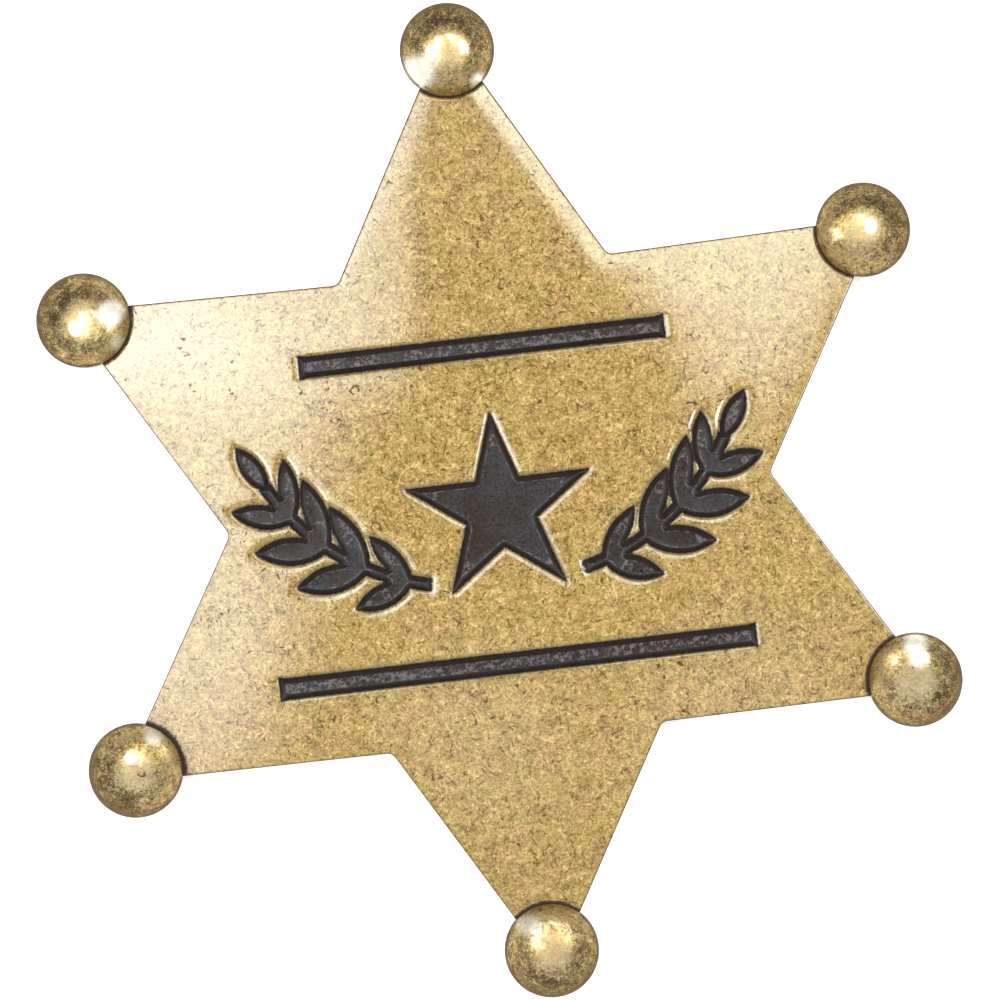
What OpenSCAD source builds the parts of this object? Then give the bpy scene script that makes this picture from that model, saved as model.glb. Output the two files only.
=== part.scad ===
// Six-pointed star badge with ball tips, struck in brass with black enamel in its recesses.
// It lies face up: +Z comes out of the face and +Y points to the top ball.
// The origin is on the surface that it lies on, under the centre of the star.

/* [Star] */
// Distance from the centre to the centre of each tip ball
ball_reach = 34.5; // [32:0.5:38]
// How far each point of the star runs on past the centre of its ball
tip_past_ball = 1.6; // [0.5:0.1:2.5]
// Distance from the middle of the inner corners to each inner corner
notch_reach = 20.65; // [20:0.05:22.5]
// How far the middle of the inner corners lies below the centre
notch_drop = 0.27; // [0:0.01:0.5]
// Thickness of the metal
plate_t = 1.4; // [1.2:0.1:2]
// Radius of the gentle crown, measured to the back of the plate
crown_r = 160; // [140:5:190]

/* [Tip balls] */
// Diameter of each ball
ball_d = 7.2; // [6:0.1:8.5]
// Thickness of the wall round the hollow behind each ball
ball_wall = 1.1; // [0.8:0.1:1.5]
// Height of the plate's back above the foot of each ball
ball_foot = 0.3; // [0.1:0.05:0.6]
// How far the middle of each ball lies below the face
ball_sink = 0.5; // [0.1:0.1:1]

/* [Recesses and enamel] */
// Depth of each recess below the face
recess_depth = 0.55; // [0.4:0.05:0.8]
// Thickness of the enamel in the recesses
enamel_t = 0.3; // [0.15:0.05:0.35]
// Clearance between the enamel and the metal round it
enamel_gap = 0.04; // [0.02:0.01:0.08]

/* [Bars] */
// Length of the upper bar
upper_bar_len = 27.9; // [20:0.1:32]
// Height of the upper bar's middle above the centre
upper_bar_y = 11.7; // [10.5:0.1:13]
// Length of the lower bar
lower_bar_len = 36.4; // [28:0.1:40]
// Distance of the lower bar's middle below the centre
lower_bar_y = 12.4; // [11.5:0.1:13.5]
// Width of both bars
bar_w = 1.55; // [1.2:0.05:2]
// How far a bar widens on each side at its ends
bar_flare = 0.14; // [0:0.01:0.3]
// Length over which a bar widens
bar_flare_len = 0.6; // [0.3:0.1:1.5]

/* [Centre star] */
// Radius of the small star's points
emblem_r = 7.4; // [5:0.1:7.6]
// How far the small star's centre lies below the badge's centre
emblem_drop = 0.7; // [0:0.1:1.5]

/* [Leaf sprays] */
// Distance of the stem's curve centre from the middle of the badge
stem_x = 2.1; // [1.8:0.1:2.6]
// Height of the stem's curve centre above the middle of the badge
stem_y = 11.4; // [11:0.1:12]
// Radius of the stem's curve
stem_r = 17.6; // [17:0.1:18]
// Width of the stem
stem_w = 0.95; // [0.8:0.05:1.2]
// Number of pairs of leaves on each spray
leaf_pairs = 4; // [3:1:4]
// Length of the longest leaf
leaf_len = 5.8; // [4.5:0.1:6]
// Width of the longest leaf outside the stem's curve
leaf_w = 2.15; // [1.6:0.05:2.2]
// Width of the longest leaf inside the stem's curve, where there is less room
inner_leaf_w = 1.8; // [1.4:0.05:1.85]
// Angle between each leaf and the stem
leaf_angle = 36; // [34:1:40]

/* [Pin] */
// Distance from the hinge of the pin to its catch
pin_span = 25; // [20:0.5:32]
// Width of the bar that carries the hinge and the catch
pin_bar_w = 5; // [4:0.1:7]
// Thickness of that bar
pin_bar_t = 0.7; // [0.5:0.1:1]
// Diameter of the pin's wire
pin_wire_d = 0.9; // [0.7:0.05:1.1]
// Height of the pin's wire above the surface that the badge lies on
pin_wire_z = 1.45; // [1.3:0.05:1.6]
// Outer diameter of the hinge and of the catch
pin_knuckle_d = 2.2; // [1.8:0.1:2.4]
// Length of the point that passes the catch
pin_point = 2.2; // [1.5:0.1:3]
// Diameter of the blunted end of that point
pin_tip_d = 0.15; // [0.1:0.05:0.3]
// Clearance between the back of the plate and the bar
pin_gap = 0.05; // [0.02:0.01:0.1]

/* [Hidden] */
$fn = 96;
points = 6;
turn = 360 / points;
tip_reach = ball_reach + tip_past_ball;
front_r = crown_r + plate_t;
floor_r = front_r - recess_depth;
// Height of the crown's own centre, which puts the feet of the balls at zero
crown_z = ball_foot - sqrt(crown_r * crown_r - ball_reach * ball_reach);
// Height of the middle of each ball, where its dome starts
dome_z = crown_z + sqrt(front_r * front_r - ball_reach * ball_reach) - ball_sink;
// Height that every upright cut and outline reaches, clear above the face
over_z = plate_t + crown_z + crown_r + ball_d;
emblem_points = 5;
// Half the angle of each point of the small star
half_point = 90 / emblem_points;
// Directions from the centre of the stem's curve to its foot and to its end
stem_start = -77.5;
stem_end = -28.5;
// The first pair of leaves stands this share of a step from the start of the stem
leaf_lead = 0.4;
stem_step = (stem_end - stem_start) / (leaf_pairs + leaf_lead);
// The last leaf starts this many degrees before the end of the stem
leaf_seat = 1.5;
// Leaves at the foot and at the end of the stem are this share of the longest one
least_leaf = 0.72;
// Length of the bar beyond the hinge and beyond the catch
pin_bar_end = pin_knuckle_d;
brass = "#bf9a52";
enamel = "#26221f";

// A ball, or the hollow in it, with its pole level so that no seam crosses the face
module crown_ball(r) {
    translate([0, 0, crown_z])
        rotate([90, 0, 0])
            sphere(r, $fn = 360);
}

// What lies between two radii of the crown
module crown_shell(inner, outer) {
    difference() {
        crown_ball(outer);
        crown_ball(inner);
    }
}

module upright(height = over_z) {
    linear_extrude(height)
        children();
}

function polar(r, a) = [r * cos(a), r * sin(a)];

// Outline of the badge, from each point to the inner corner on its left
module badge_outline() {
    polygon([
        for (k = [0 : points - 1], corner = [0, 1])
            corner == 0
                ? polar(tip_reach, 90 + k * turn)
                : polar(notch_reach, 90 + (k + 0.5) * turn) - [0, notch_drop]
    ]);
}

// Bar with slightly wider ends
module bar_outline(len, inset) {
    x = len / 2 - inset;
    y = bar_w / 2 - inset;
    end_y = y + bar_flare;
    body_x = x - bar_flare_len;
    polygon([
        [-x, -end_y], [-body_x, -y], [body_x, -y], [x, -end_y],
        [x, end_y], [body_x, y], [-body_x, y], [-x, end_y]
    ]);
}

// Five-pointed star whose sides line up across it
module centre_star_outline(inset) {
    r = emblem_r - inset / sin(half_point);
    inner = r * sin(half_point) / sin(3 * half_point);
    translate([0, -emblem_drop])
        polygon([
            for (k = [0 : 2 * emblem_points - 1])
                polar(k % 2 == 0 ? r : inner, 90 + 2 * half_point * k)
        ]);
}

// Pointed leaf along +X from the origin, the shape that two circles share
module leaf_outline(len, wide, inset) {
    r = (len * len + wide * wide) / (4 * wide);
    intersection() {
        translate([len / 2, wide / 2 - r])
            circle(r - inset);
        translate([len / 2, r - wide / 2])
            circle(r - inset);
    }
}

// Size of a leaf as a share of the longest, for a place from 0 to 1 along the stem
function leaf_share(t) = least_leaf + (1 - least_leaf) * sin(180 * t);

// Leaf on the outer side of the stem for side 1, the inner side for -1, or straight on for 0
module stem_leaf(angle, side, share, inset) {
    wide = side < 0 ? inner_leaf_w : leaf_w;
    translate([stem_x, stem_y] + polar(stem_r, angle))
        rotate(angle + 90 - side * leaf_angle)
            leaf_outline(leaf_len * share, wide * share, inset);
}

// Angle that a length takes up along the stem's curve
function stem_turn(len) = len / stem_r * 180 / PI;

// Curved stem with pairs of leaves and one leaf at its end
module right_spray_outline(inset) {
    sector_r = 2 * stem_r;
    translate([stem_x, stem_y])
        intersection() {
            difference() {
                circle(stem_r + stem_w / 2 - inset);
                circle(stem_r - stem_w / 2 + inset);
            }
            polygon([
                [0, 0],
                polar(sector_r, stem_start + stem_turn(inset)),
                polar(sector_r, (stem_start + stem_end) / 2),
                polar(sector_r, stem_end - stem_turn(inset))
            ]);
        }
    for (k = [0 : leaf_pairs - 1], side = [-1, 1]) {
        share = leaf_share((k + 0.5) / leaf_pairs);
        stem_leaf(stem_start + (k + leaf_lead) * stem_step, side, share, inset);
    }
    stem_leaf(stem_end - leaf_seat, 0, least_leaf, inset);
}

module left_spray_outline(inset) {
    mirror([1, 0])
        right_spray_outline(inset);
}

module upper_bar_outline(inset) {
    translate([0, upper_bar_y])
        bar_outline(upper_bar_len, inset);
}

module lower_bar_outline(inset) {
    translate([0, -lower_bar_y])
        bar_outline(lower_bar_len, inset);
}

// Half ball on a straight foot that ends at the surface the badge lies on
module dome(r) {
    translate([0, 0, dome_z])
        difference() {
            sphere(r);
            translate([0, 0, -r])
                cube(2 * r, center = true);
        }
    cylinder(r = r, h = dome_z);
}

module at_each_tip() {
    for (k = [0 : points - 1])
        rotate(90 + k * turn)
            translate([ball_reach, 0, 0])
                children();
}

// Cut from the face down to the floor of a recess
module recess() {
    difference() {
        upright()
            children();
        crown_ball(floor_r);
    }
}

// Enamel on the floor of a recess
module enamel_layer() {
    color(enamel)
        intersection() {
            upright()
                children();
            crown_shell(floor_r + enamel_gap, floor_r + enamel_gap + enamel_t);
        }
}

module star() {
    color(brass)
        difference() {
            union() {
                intersection() {
                    upright()
                        badge_outline();
                    crown_shell(crown_r, front_r);
                }
                at_each_tip()
                    dome(ball_d / 2);
            }
            at_each_tip()
                dome(ball_d / 2 - ball_wall);
            recess()
                upper_bar_outline(0);
            recess()
                lower_bar_outline(0);
            recess()
                centre_star_outline(0);
            recess()
                left_spray_outline(0);
            recess()
                right_spray_outline(0);
        }
}

// Soldered bar pin: bar, hinge, catch and wire in one
module pin() {
    back_r = crown_r - pin_gap;
    bar_len = pin_span + 2 * pin_bar_end;
    knuckle_r = pin_knuckle_d / 2;
    wire_len = pin_span + knuckle_r;
    color(brass) {
        intersection() {
            translate([-bar_len / 2, -pin_bar_w / 2, 0])
                cube([bar_len, pin_bar_w, over_z]);
            crown_shell(back_r - pin_bar_t, back_r);
        }
        for (side = [-1, 1])
            translate([side * pin_span / 2, 0, pin_wire_z]) {
                rotate([90, 0, 0])
                    cylinder(d = pin_knuckle_d, h = pin_bar_w, center = true);
                intersection() {
                    translate([-knuckle_r / 2, -pin_bar_w / 2, 0])
                        cube([knuckle_r, pin_bar_w, over_z]);
                    translate([-side * pin_span / 2, 0, -pin_wire_z])
                        crown_ball(back_r - pin_bar_t / 2);
                }
            }
        translate([-pin_span / 2, 0, pin_wire_z])
            rotate([0, 90, 0]) {
                cylinder(d = pin_wire_d, h = wire_len);
                translate([0, 0, wire_len])
                    cylinder(d1 = pin_wire_d, d2 = pin_tip_d, h = pin_point);
            }
    }
}

star();
enamel_layer() upper_bar_outline(enamel_gap);  // enamel_upper_bar
enamel_layer() lower_bar_outline(enamel_gap);  // enamel_lower_bar
enamel_layer() centre_star_outline(enamel_gap);  // enamel_centre_star
enamel_layer() left_spray_outline(enamel_gap);  // enamel_left_spray
enamel_layer() right_spray_outline(enamel_gap);  // enamel_right_spray
pin();
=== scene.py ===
"""Antiqued brass star badge with ball tips and black enamel, lying face up on a pale surface."""

import math

import bpy
import numpy as np
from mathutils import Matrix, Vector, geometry


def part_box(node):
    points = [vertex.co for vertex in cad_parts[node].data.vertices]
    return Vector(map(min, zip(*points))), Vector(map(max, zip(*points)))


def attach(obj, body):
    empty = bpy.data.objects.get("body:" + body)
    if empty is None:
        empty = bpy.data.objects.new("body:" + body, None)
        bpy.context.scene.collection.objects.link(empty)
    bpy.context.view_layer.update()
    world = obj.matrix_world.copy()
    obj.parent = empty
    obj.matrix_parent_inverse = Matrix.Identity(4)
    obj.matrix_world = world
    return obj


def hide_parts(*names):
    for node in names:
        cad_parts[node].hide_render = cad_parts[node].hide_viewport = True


# Lengths in this script are in millimetres, and meshes are scaled to metres when they are made
MM = 0.001

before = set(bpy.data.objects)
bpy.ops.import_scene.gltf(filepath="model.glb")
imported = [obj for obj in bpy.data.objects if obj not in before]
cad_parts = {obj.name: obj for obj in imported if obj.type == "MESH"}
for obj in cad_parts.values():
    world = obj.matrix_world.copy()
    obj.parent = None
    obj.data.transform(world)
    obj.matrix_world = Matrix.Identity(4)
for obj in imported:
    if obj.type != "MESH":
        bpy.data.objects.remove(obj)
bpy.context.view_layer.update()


def box_mm(node):
    """Lowest and highest corner of a CAD node, in millimetres."""
    low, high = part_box(node)
    return np.array(low) / MM, np.array(high) / MM


# Star plate and tip balls
POINTS = 6
BALL_R = 3.595
BALL_WALL = 1.1
BALL_FOOT = 0.3
BALL_SINK = 0.5
BALL_REACH = 34.5
TIP_REACH = BALL_REACH + 1.6
NOTCH_REACH = 20.65
NOTCH_DROP = 0.27
NOTCH_ROUND = 0.45
CROWN_BACK_R = 160
PLATE_T = 1.4
CROWN_R = CROWN_BACK_R + PLATE_T
CROWN_Z = BALL_FOOT - math.sqrt(CROWN_BACK_R**2 - BALL_REACH**2)
BALL_Z = CROWN_Z + math.sqrt(CROWN_R**2 - BALL_REACH**2) - BALL_SINK
BALL_TOP = BALL_Z + BALL_R
BALL_FULLNESS = 2.15

# Rounded edges of the struck metal: how wide each one is and how far it drops. The plate's edge rolls by
# all of it above the height ROLL_FULL and by a share of it below ROLL_FROM. Shoulders of the recesses are
# narrower along the sides of the bars.
EDGE_ROLL_W, EDGE_ROLL = 2.0, 0.062
ROLL_FROM, ROLL_FULL, LOWER_ROLL = 13.0, 16.5, 0.25
EDGE_BREAK_W, EDGE_BREAK = 0.1, 0.07
SHOULDER_W, SHOULDER = 0.78, 0.155
BAR_SHOULDER_W = 0.25
CREASE_W, CREASE = 0.25, 0.1

# Recesses and the enamel in them: the gap between the enamel's solid and the recess, how far its mesh
# keeps clear of the metal, how deep it lies at its rim and on its floor, and its wall's width, with the
# share of it that the fillet takes on either side
RECESS_DEPTH = 0.55
ENAMEL_GAP = 0.04
ENAMEL_CLEAR = 0.03
ENAMEL_RIM, ENAMEL_FLOOR = 0.22, 0.44
ENAMEL_WALL_W, ENAMEL_FILLET = 0.4, 0.16

# Widening at the ends of the bars
BAR_FLARE, BAR_FLARE_LEN, BAR_FLARE_STEPS = 0.14, 0.6, 5

# Small star and leaf sprays
EMBLEM_POINTS = 5
EMBLEM_R = 7.4
EMBLEM_DROP = 0.7
STEM_CENTRE = np.array([2.1, 11.4])
STEM_R = 17.6
STEM_W = 0.95
STEM_START, STEM_END = math.radians(-77.5), math.radians(-28.5)
LEAF_PAIRS = 4
LEAF_LEAD = 0.4
LEAF_SEAT = math.radians(1.5)
LEAF_LEN = 5.8
LEAF_W, INNER_LEAF_W = 2.15, 1.8
LEAF_ANGLE = math.radians(36)
LEAST_LEAF = 0.72
LEAST_LEAF_STEPS = 4

# How far the photograph shows the badge turned
TURN = math.radians(6.65)

# Distances of the rings of mesh points from each outline, and the spacing of the points on them
OUTER_RINGS = [
    (0.03, 0.16), (0.07, 0.16), (0.13, 0.17), (0.21, 0.18), (0.31, 0.2), (0.43, 0.22),
    (0.58, 0.25), (0.76, 0.28), (1.0, 0.32), (1.3, 0.36), (1.65, 0.42),
]
INNER_RINGS = [(0.07, 0.15), (0.14, 0.15), (0.21, 0.16), (0.28, 0.16), (0.35, 0.17), (0.43, 0.2)]
OUTLINE_STEP = 0.17
FIELD_STEP = 0.46
BACK_STEP, BACK_CLEAR = 1.6, 0.8
# Least distance of a ring's points from other outlines and from each other, as shares of the ring's own,
# how far the field's points keep from the edges and from each other, and how far a triangle's middle may
# lie inside a ball
RING_CLEAR, RING_THIN = 0.93, 0.72
FIELD_CLEAR, FIELD_THIN = 0.3, 0.7
BALL_TOUCH = 0.012
# Distances below which points are one, and lengths are taken for none
MERGE, TINY = 1e-7, 1e-9

# Mesh rows of a ball's dome and of the hollow behind it, and the broken edge round its foot
BALL_ROWS, HOLLOW_ROWS = 34, 8
FOOT_BREAK = 0.12

# Dark patina: how quickly it fades away from a recess and from the plate's edge, how much of it the sides
# of the plate and the parts of a ball carry, where the dark line round a ball's free side starts, in
# shares of its radius, and how far the patina and painted shade of the crease can reach from a ball over
# the ball itself and over the plate
RECESS_GRIME_W, EDGE_GRIME_W = 0.16, 0.06
SIDE_GRIME = 0.55
BALL_SIDE_GRIME, BALL_BACK_GRIME, FOOT_GRIME, HOLLOW_EDGE = 0.5, 0.2, 0.9, 0.5
OUTLINE_FROM, OUTLINE_FULL, OUTLINE_SHARE = 0.93, 0.98, 0.72
BALL_CREASE_W = 0.17
PLATE_CREASES = (0.4, 0.5, 0.8, 0.5, 0.55, 0.4)

# For each ball, counterclockwise from the top one: how far its lacquer leans, which moves its highlights,
# its painted highlights, which are bright patches painted into its colour where it would mirror the pale
# floor, and the patches where its lacquer is gone, by place, reach and strength. All are shares of the
# ball's radius, to the right and up in the photograph. A patch is full over its core.
PATCH_CORE = 0.3
BALL_LEANS = ((0.0, 0.0), (-0.15, 0.12), (-0.21, -0.26), (-0.02, -0.18), (0.08, -0.36), (0.18, 0.0))
BALL_PAINTED_HIGHLIGHTS = (
    ((-0.62, -0.5, 0.5, 1.0), (0.68, -0.7, 0.26, 0.9)),
    ((0.6, 0.16, 0.36, 1.0), (0.78, -0.5, 0.24, 0.5)),
    ((0.42, 0.78, 0.3, 0.6),),
    ((-0.5, 0.56, 0.36, 0.4),),
    ((-0.02, 0.78, 0.36, 0.8), (0.04, 0.46, 0.3, 0.7)),
    (),
)
BALL_DULLS = (
    (),
    (),
    ((0.08, 0.56, 0.34, 0.9), (0.52, 0.33, 0.3, 0.9)),
    ((-0.25, 0.2, 0.5, 0.5), (0.3, 0.3, 0.45, 0.8)),
    (),
    ((-0.38, 0.16, 0.42, 0.9),),
)


def unit(angle):
    """Direction of length one at an angle."""
    return np.array([math.cos(angle), math.sin(angle)])


def directions(angles):
    return np.column_stack([np.cos(angles), np.sin(angles)])


def lengths(vectors):
    """Length of each row, never quite none, in a column."""
    return np.maximum(np.linalg.norm(vectors, axis=1), TINY)[:, None]


def eased(value, low, high):
    """0 up to low, 1 from high on, and a smooth rise between them."""
    t = np.clip((value - low) / (high - low), 0, 1)
    return t * t * (3 - 2 * t)


def mirrored(points):
    """The same outline on the left side, in the same direction of travel."""
    return points[::-1] * [-1, 1]


def arc(centre, radius, start, end, steps):
    angles = np.linspace(start, end, steps + 1)
    return centre + radius * directions(angles)


def divided(a, b):
    """Points from a to just before b, no further apart than an outline's step."""
    count = max(1, math.ceil(np.linalg.norm(b - a) / OUTLINE_STEP))
    return a + np.outer(np.arange(count) / count, b - a)


def closed_run(corners):
    """A closed outline with points added along its sides."""
    following = np.roll(corners, -1, axis=0)
    return np.concatenate([divided(a, b) for a, b in zip(corners, following)])


def polygon_distance(p, corners):
    """Distance from each point to a closed polygon, negative inside it."""
    nearest = np.full(len(p), np.inf)
    inside = np.zeros(len(p), bool)
    for a, b in zip(corners, np.roll(corners, -1, axis=0)):
        side = b - a
        away = p - a
        along = np.clip(away @ side / (side @ side), 0, 1)
        nearest = np.minimum(nearest, ((away - np.outer(along, side)) ** 2).sum(axis=1))
        crossed = (a[1] > p[:, 1]) != (b[1] > p[:, 1])
        rise = side[1] if side[1] else 1
        inside ^= crossed & (away[:, 0] < away[:, 1] * side[0] / rise)
    return np.where(inside, -1, 1) * np.sqrt(nearest)


def ball_angle(k):
    """Direction of ball k, counterclockwise from the top one."""
    return math.radians(90 + k * 360 / POINTS)


def notch_corner(k):
    """Inner corner of the star between the tips k and k + 1."""
    return NOTCH_REACH * unit(ball_angle(k + 0.5)) - [0, NOTCH_DROP]


def ball_centre(k):
    return BALL_REACH * unit(ball_angle(k))


def tip(k):
    """Where the plate's sides would meet, under ball k."""
    return TIP_REACH * unit(ball_angle(k))


def notch_round(k, steps=6):
    """Small rounding of an inner corner, from the side of tip k to the side of the next tip."""
    corner = notch_corner(k)
    ends = []
    for neighbour in (tip(k), tip(k + 1)):
        away = neighbour - corner
        ends.append(corner + NOTCH_ROUND * away / np.linalg.norm(away))
    t = np.linspace(0, 1, steps + 1)[:, None]
    return (1 - t) ** 2 * ends[0] + 2 * t * (1 - t) * corner + t**2 * ends[1]


def star_corners():
    """Outline of the plate with its points run out under the balls."""
    return np.vstack([[tip(k), *notch_round(k)] for k in range(POINTS)])


def bar_corners(node):
    """Outline of the recess round a bar, whose ends widen in a short curve."""
    low, high = box_mm(node)
    half_len = (high[0] - low[0]) / 2 + ENAMEL_GAP
    middle = (high[1] + low[1]) / 2
    end_half_w = (high[1] - low[1]) / 2 + ENAMEL_GAP
    t = np.linspace(0, 1, BAR_FLARE_STEPS + 1)
    x = half_len - BAR_FLARE_LEN * (1 - t)
    y = end_half_w - BAR_FLARE * (1 - t**2)
    upper_right = np.column_stack([x, y])
    right = np.vstack([upper_right * [1, -1], upper_right[::-1]])
    return np.vstack([right, -right]) + [0, middle]


def small_star_corners():
    """Outline of the small star, whose sides run on from one point to the next but one."""
    step = 180 / EMBLEM_POINTS
    inner = EMBLEM_R * math.sin(math.radians(step / 2)) / math.sin(math.radians(1.5 * step))
    return np.array([
        (EMBLEM_R if k % 2 == 0 else inner) * unit(math.radians(90 + step * k)) - [0, EMBLEM_DROP]
        for k in range(2 * EMBLEM_POINTS)
    ])


def spray_leaves():
    """Root, direction, length and width of each leaf on the right spray."""
    step = (STEM_END - STEM_START) / (LEAF_PAIRS + LEAF_LEAD)
    leaves = []
    for k in range(LEAF_PAIRS):
        share = LEAST_LEAF + (1 - LEAST_LEAF) * math.sin(math.pi * (k + 0.5) / LEAF_PAIRS)
        angle = STEM_START + (k + LEAF_LEAD) * step
        for side, wide in ((-1, INNER_LEAF_W), (1, LEAF_W)):
            direction = angle + math.pi / 2 - side * LEAF_ANGLE
            leaves.append((STEM_CENTRE + STEM_R * unit(angle), direction, LEAF_LEN * share, wide * share))
    angle = STEM_END - LEAF_SEAT
    end_leaf = (LEAF_LEN * LEAST_LEAF, LEAF_W * LEAST_LEAF)
    leaves.append((STEM_CENTRE + STEM_R * unit(angle), angle + math.pi / 2, *end_leaf))
    return leaves


def leaf_circle(length, wide):
    """Radius of the two circles that share a leaf's outline, and how far each lies off its middle."""
    radius = (length**2 + wide**2) / (4 * wide)
    return radius, radius - wide / 2


def leaf_points(root, direction, length, wide):
    radius, offset = leaf_circle(length, wide)
    reach = math.asin(length / 2 / radius)
    steps = max(LEAST_LEAF_STEPS, round(2 * reach * radius / OUTLINE_STEP))
    side = arc(np.array([length / 2, -offset]), radius, math.pi / 2 + reach, math.pi / 2 - reach, steps)
    flat = np.vstack([side[:-1], (side * [1, -1])[::-1][:-1]])
    turn = np.column_stack([unit(direction), unit(direction + math.pi / 2)])
    return root + flat @ turn.T


def leaf_distance(p, root, direction, length, wide):
    """Distance from each point to a leaf, negative inside it."""
    radius, offset = leaf_circle(length, wide)
    away = p - (root + length / 2 * unit(direction))
    along = np.abs(away @ unit(direction))
    across = np.abs(away @ unit(direction + math.pi / 2))
    past_tip = (along - length / 2) * offset > across * length / 2
    from_tip = np.hypot(along - length / 2, across)
    from_side = np.hypot(along, across + offset) - radius
    return np.where(past_tip, from_tip, from_side)


def stem_points():
    steps = round((STEM_END - STEM_START) * STEM_R / OUTLINE_STEP)
    outer = arc(STEM_CENTRE, STEM_R + STEM_W / 2, STEM_START, STEM_END, steps)
    inner = arc(STEM_CENTRE, STEM_R - STEM_W / 2, STEM_END, STEM_START, steps)
    return np.vstack([outer, inner])


def stem_distance(p):
    """Distance from each point to the right spray's stem, negative inside it."""
    away = p - STEM_CENTRE
    reach = np.hypot(away[:, 0], away[:, 1])
    angle = np.arctan2(away[:, 1], away[:, 0])
    middle = (STEM_START + STEM_END) / 2
    past_end = (np.abs(angle - middle) - (STEM_END - STEM_START) / 2) * STEM_R
    past_side = np.abs(reach - STEM_R) - STEM_W / 2
    outside = np.hypot(np.maximum(past_end, 0), np.maximum(past_side, 0))
    return np.where((past_end < 0) & (past_side < 0), np.maximum(past_end, past_side), outside)


PLATE = star_corners()
BARS = {name: bar_corners(name) for name in ("enamel_upper_bar", "enamel_lower_bar")}
SMALL_STAR = small_star_corners()
LEAVES = spray_leaves()


def spray_parts(p):
    """Distance from each point to the stem and the leaves, which are alike on both sides."""
    folded = np.column_stack([np.abs(p[:, 0]), p[:, 1]])
    return [stem_distance(folded)] + [leaf_distance(folded, *leaf) for leaf in LEAVES]


def recess_parts(p):
    """Distance from each point to every shape that is sunk into the face."""
    bars = [polygon_distance(p, corners) for corners in BARS.values()]
    return bars + [polygon_distance(p, SMALL_STAR)] + spray_parts(p)


def nearest_recess(p):
    return np.min(recess_parts(p), axis=0)


def plate_distance(p):
    return polygon_distance(p, PLATE)


def ball_distances(p):
    """Distance from each point to each ball's circle, negative inside it."""
    return [np.hypot(*(p - ball_centre(k)).T) - BALL_R for k in range(POINTS)]


def ball_distance(p):
    return np.min(ball_distances(p), axis=0)


def plate_crease(p):
    """How near each point lies to a ball, from 1 beside it to 0 where the crease's patina and painted shade
    can end.
    """
    off = [distance / reach for distance, reach in zip(ball_distances(p), PLATE_CREASES)]
    return np.clip(1 - np.min(off, axis=0), 0, 1)


def bar_shoulder(p, corners):
    """Distance from a bar in shares of its shoulder's width, which is less along its sides."""
    low, high = corners.min(axis=0), corners.max(axis=0)
    half = (high - low) / 2 - [0, BAR_FLARE]
    away = np.clip(np.abs(p - (low + high) / 2) - half, 0, None) / [SHOULDER_W, BAR_SHOULDER_W]
    return np.hypot(*away.T)


def crown_height(p, radius=CROWN_R):
    return CROWN_Z + np.sqrt(radius**2 - (p**2).sum(axis=1))


def face_height(p):
    """Height of the metal face with its rounded edges, over points of the plane."""
    shares = [bar_shoulder(p, corners) for corners in BARS.values()]
    shares += [distance / SHOULDER_W for distance in recess_parts(p)[len(BARS):]]
    level = np.ones(len(p))
    for share in shares:
        level = level * (1 - np.clip(1 - share, 0, None) ** 3)
    edge = -plate_distance(p)
    roll = EDGE_ROLL * (LOWER_ROLL + (1 - LOWER_ROLL) * eased(p[:, 1], ROLL_FROM, ROLL_FULL))
    rolled = roll * np.clip(1 - edge / EDGE_ROLL_W, 0, 1) ** 3
    broken = EDGE_BREAK * np.clip(1 - edge / EDGE_BREAK_W, 0, 1) ** 2
    creased = CREASE * np.clip(1 - ball_distance(p) / CREASE_W, 0, 1) ** 2
    return crown_height(p) - SHOULDER * (1 - level) - rolled - broken - creased


def slopes(p, value, step):
    """How quickly a value over the plane grows to the right and up, at each point."""
    return [(value(p + way) - value(p - way)) / (2 * step) for way in np.eye(2) * step]


def slope_normals(p, height, step=0.004):
    """Unit normals of a height function."""
    east, north = slopes(p, height, step)
    normals = np.column_stack([-east, -north, np.ones(len(p))])
    return normals / lengths(normals)


def ball_cuts(k):
    """Angles about a ball's centre where the plate's edges meet it, before and after tip k."""
    centre = ball_centre(k)
    cuts = []
    for corner in (notch_corner(k - 1), notch_corner(k)):
        side = (tip(k) - corner) / np.linalg.norm(tip(k) - corner)
        away = corner - centre
        middle = -away @ side
        half = math.sqrt(BALL_R**2 - (away @ away - middle**2))
        meeting = away + (middle - half) * side
        cuts.append(math.atan2(meeting[1], meeting[0]))
    start, end = cuts
    while end > start:
        end -= 2 * math.pi
    return start, end


def ball_angles(k):
    """Angles of a ball's mesh columns, and how many of its first ones meet the plate."""
    start, end = ball_cuts(k)
    joined = round((start - end) * BALL_R / OUTLINE_STEP)
    free = round((2 * math.pi - start + end) * BALL_R / OUTLINE_STEP)
    first = np.linspace(start, end, joined + 1)
    rest = np.linspace(end, start - 2 * math.pi, free + 1)[1:-1]
    return np.concatenate([first, rest]), joined + 1


def plate_outline():
    """The visible outline of the plate: arcs against the balls, and straight edges between them."""
    arcs, runs = [], []
    for k in range(POINTS):
        angles, joined = ball_angles(k)
        arcs.append(ball_centre(k) + BALL_R * directions(angles[:joined]))
    for k in range(POINTS):
        rounded = notch_round(k)
        before = divided(arcs[k][-1], rounded[0])
        after = divided(rounded[-1], arcs[(k + 1) % POINTS][0])
        runs.append(np.vstack([arcs[k], before[1:], rounded[:-1], after]))
    return runs, arcs


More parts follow.
